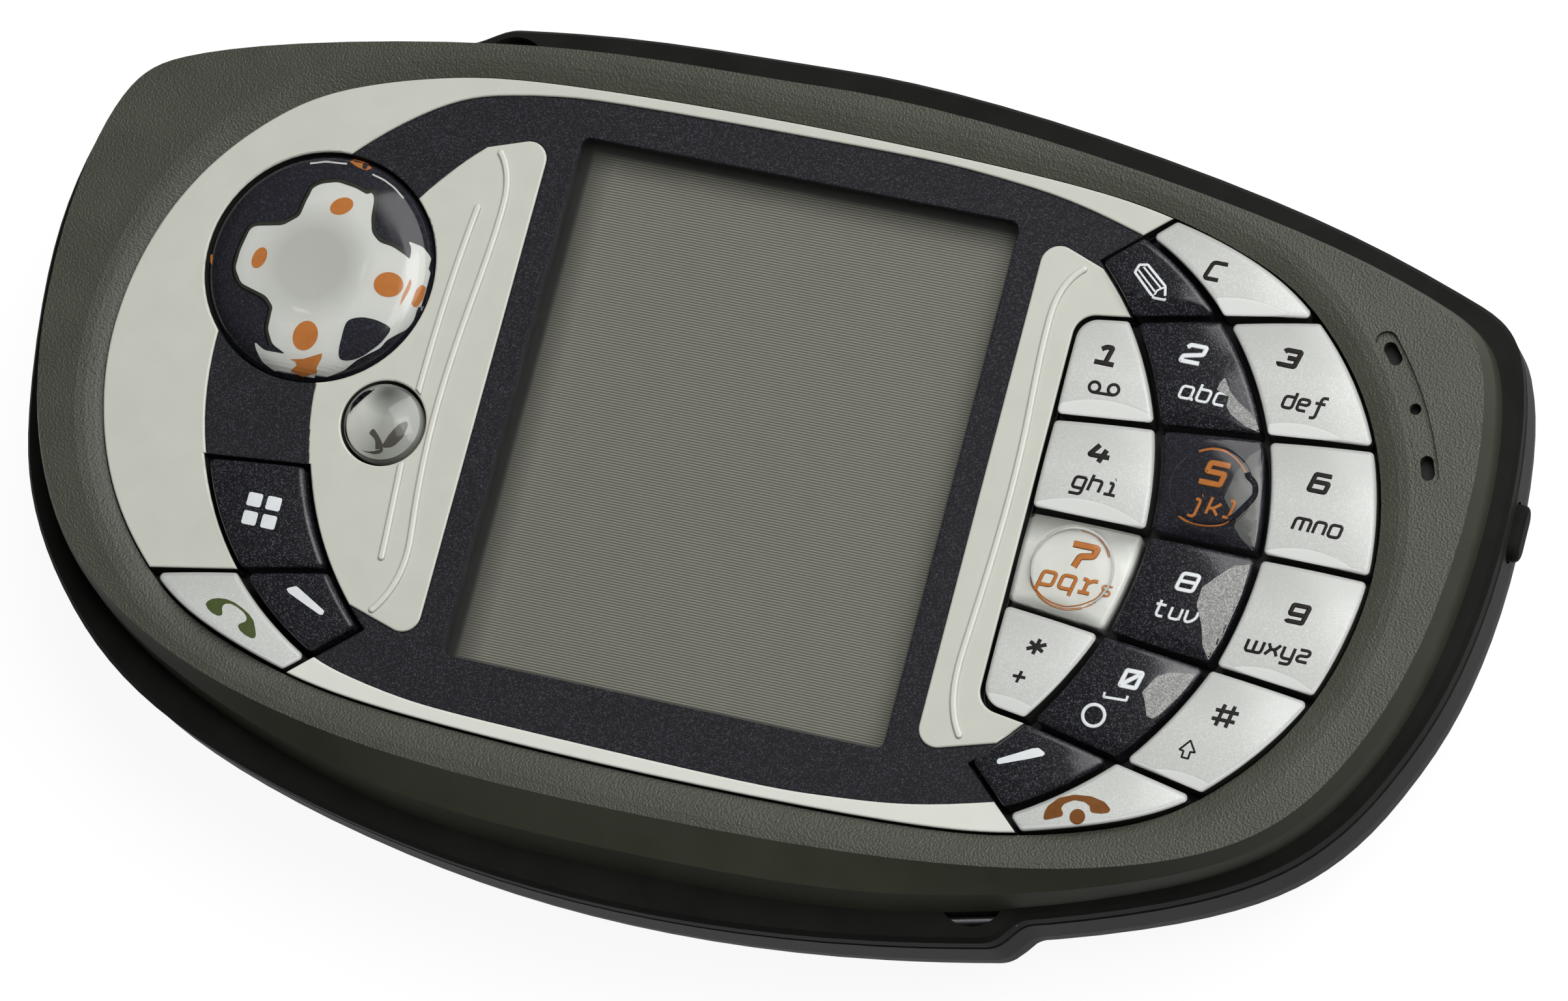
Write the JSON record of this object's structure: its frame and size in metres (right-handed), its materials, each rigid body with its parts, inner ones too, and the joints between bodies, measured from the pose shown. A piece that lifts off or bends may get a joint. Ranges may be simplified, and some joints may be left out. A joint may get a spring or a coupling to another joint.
{
  "type": "gaming phone",
  "caption": "Handheld gaming phone with an oval face: display in the middle, D-pad on the left, curved telephone keypad on the right, rubber bumper and strap eyelets.",
  "frame": {"origin": "centre of the bounding box's footprint on the back face", "axes": "+X to the right of the face (keypad side), +Y towards the top edge, +Z out of the face towards the user"},
  "size_m": [0.1207, 0.0691, 0.022],
  "materials": {
    "olive_plastic": "fine leather-like grain, satin",
    "rubber_edge": "matt, fine grain",
    "dark_housing": "matt, fine grain",
    "pale_plastic": "satin",
    "navy_plastic": "fine metallic sparkle under clear coat",
    "silver_keys": "pearl paint under clear coat",
    "dark_keys": "fine metallic, glossy",
    "clear_plastic": "clear, polished",
    "window_glass": "clear, polished",
    "silver_core": "pearl paint",
    "board_green": "solder mask, satin",
    "steel": "stamped",
    "silicone": "matt",
    "black_plastic": "moulded",
    "lcd_grey": "fine lines",
    "battery_skin": "satin",
    "contact_gold": "plated"
  },
  "bodies": {
    "case": {"front_cover": "olive_plastic", "bumper": "rubber_edge", "rear_housing": "dark_housing", "face_plate": "pale_plastic", "lower_trim": "pale_plastic", "wing_left": "pale_plastic", "wing_right": "pale_plastic", "display_bezel": "navy_plastic", "display_gasket": "silicone", "display_window": "window_glass", "key_frame": "black_plastic", "keymat_left": "silicone", "keymat_right": "silicone", "circuit_board": "board_green", "dome_switches": "steel", "shield_cans": "steel", "lcd_module": "lcd_grey", "lcd_frame": "steel", "battery": "battery_skin", "battery_contacts": "black_plastic", "sim_holder": "contact_gold", "charger_jack": "black_plastic", "headset_jack": "black_plastic", "card_socket": "black_plastic", "earpiece": "black_plastic", "earpiece_mesh": "black_plastic", "loudspeaker": "black_plastic", "microphone": "black_plastic", "vibration_motor": "steel", "housing_screws": "steel", "power_switch": "black_plastic", "antenna": "black_plastic", "strap_pins": "steel"},
    "key_0": {"key_0": "dark_keys"},
    "key_1": {"key_1": "silver_keys"},
    "key_2": {"key_2": "dark_keys"},
    "key_3": {"key_3": "silver_keys"},
    "key_4": {"key_4": "silver_keys"},
    "key_5": {"key_5": "dark_keys"},
    "key_6": {"key_6": "silver_keys"},
    "key_7": {"key_7": "silver_keys"},
    "key_8": {"key_8": "dark_keys"},
    "key_9": {"key_9": "silver_keys"},
    "key_star": {"key_star": "silver_keys"},
    "key_hash": {"key_hash": "silver_keys"},
    "edit_key": {"edit_key": "dark_keys"},
    "clear_key": {"clear_key": "silver_keys"},
    "soft_key_right": {"soft_key_right": "dark_keys"},
    "end_key": {"end_key": "silver_keys"},
    "menu_key": {"menu_key": "dark_keys"},
    "soft_key_left": {"soft_key_left": "dark_keys"},
    "send_key": {"send_key": "silver_keys"},
    "select": {"select_key": "silver_keys", "select_lens": "clear_plastic"},
    "dpad_cross": {"dpad_pivot": "black_plastic"},
    "dpad": {"dpad_core": "silver_core", "dpad_lens": "clear_plastic"},
    "power_key": {"power_key": "dark_housing"},
    "card_flap": {"card_flap": "dark_housing"},
    "battery_cover": {"battery_cover": "dark_housing"}
  },
  "joints": [
    {"name": "key_0_press", "type": "slide", "parent": "case", "child": "key_0", "axis": [0, 0, -1], "range_m": [0, 0.0004], "stiffness_N_per_m": 2000},
    {"name": "key_1_press", "type": "slide", "parent": "case", "child": "key_1", "axis": [0, 0, -1], "range_m": [0, 0.0004], "stiffness_N_per_m": 2000},
    {"name": "key_2_press", "type": "slide", "parent": "case", "child": "key_2", "axis": [0, 0, -1], "range_m": [0, 0.0004], "stiffness_N_per_m": 2000},
    {"name": "key_3_press", "type": "slide", "parent": "case", "child": "key_3", "axis": [0, 0, -1], "range_m": [0, 0.0004], "stiffness_N_per_m": 2000},
    {"name": "key_4_press", "type": "slide", "parent": "case", "child": "key_4", "axis": [0, 0, -1], "range_m": [0, 0.0004], "stiffness_N_per_m": 2000},
    {"name": "key_5_press", "type": "slide", "parent": "case", "child": "key_5", "axis": [0, 0, -1], "range_m": [0, 0.0004], "stiffness_N_per_m": 2000},
    {"name": "key_6_press", "type": "slide", "parent": "case", "child": "key_6", "axis": [0, 0, -1], "range_m": [0, 0.0004], "stiffness_N_per_m": 2000},
    {"name": "key_7_press", "type": "slide", "parent": "case", "child": "key_7", "axis": [0, 0, -1], "range_m": [0, 0.0004], "stiffness_N_per_m": 2000},
    {"name": "key_8_press", "type": "slide", "parent": "case", "child": "key_8", "axis": [0, 0, -1], "range_m": [0, 0.0004], "stiffness_N_per_m": 2000},
    {"name": "key_9_press", "type": "slide", "parent": "case", "child": "key_9", "axis": [0, 0, -1], "range_m": [0, 0.0004], "stiffness_N_per_m": 2000},
    {"name": "key_star_press", "type": "slide", "parent": "case", "child": "key_star", "axis": [0, 0, -1], "range_m": [0, 0.0004], "stiffness_N_per_m": 2000},
    {"name": "key_hash_press", "type": "slide", "parent": "case", "child": "key_hash", "axis": [0, 0, -1], "range_m": [0, 0.0004], "stiffness_N_per_m": 2000},
    {"name": "edit_key_press", "type": "slide", "parent": "case", "child": "edit_key", "axis": [0, 0, -1], "range_m": [0, 0.0004], "stiffness_N_per_m": 2000},
    {"name": "clear_key_press", "type": "slide", "parent": "case", "child": "clear_key", "axis": [0, 0, -1], "range_m": [0, 0.0004], "stiffness_N_per_m": 2000},
    {"name": "soft_key_right_press", "type": "slide", "parent": "case", "child": "soft_key_right", "axis": [0, 0, -1], "range_m": [0, 0.0004], "stiffness_N_per_m": 2000},
    {"name": "end_key_press", "type": "slide", "parent": "case", "child": "end_key", "axis": [0, 0, -1], "range_m": [0, 0.0004], "stiffness_N_per_m": 2000},
    {"name": "menu_key_press", "type": "slide", "parent": "case", "child": "menu_key", "axis": [0, 0, -1], "range_m": [0, 0.0004], "stiffness_N_per_m": 2000},
    {"name": "soft_key_left_press", "type": "slide", "parent": "case", "child": "soft_key_left", "axis": [0, 0, -1], "range_m": [0, 0.0004], "stiffness_N_per_m": 2000},
    {"name": "send_key_press", "type": "slide", "parent": "case", "child": "send_key", "axis": [0, 0, -1], "range_m": [0, 0.0004], "stiffness_N_per_m": 2000},
    {"name": "select_press", "type": "slide", "parent": "case", "child": "select", "axis": [0, 0, -1], "range_m": [0, 0.0004], "stiffness_N_per_m": 2000},
    {"name": "dpad_tilt_up_down", "type": "hinge", "parent": "case", "child": "dpad_cross", "pos_m": [-0.03623, 0.00925, 0.0173], "axis": [1, 0, 0], "range_deg": [-3.5, 3.5], "stiffness_Nm_per_rad": 0.3},
    {"name": "dpad_tilt_left_right", "type": "hinge", "parent": "dpad_cross", "child": "dpad", "pos_m": [-0.03623, 0.00925, 0.0173], "axis": [0, 1, 0], "range_deg": [-3.5, 3.5], "stiffness_Nm_per_rad": 0.3},
    {"name": "power_key_press", "type": "slide", "parent": "case", "child": "power_key", "axis": [-1, 0, 0], "range_m": [0, 0.0005], "stiffness_N_per_m": 2000},
    {"name": "card_flap_open", "type": "hinge", "parent": "case", "child": "card_flap", "pos_m": [-0.00013, 0.0346, 0.0079], "axis": [-1, 0, 0], "range_deg": [0, 95]},
    {"name": "battery_cover_lift", "type": "slide", "parent": "case", "child": "battery_cover", "axis": [0, 0, -1], "range_m": [0, 0.015]}
  ]
}
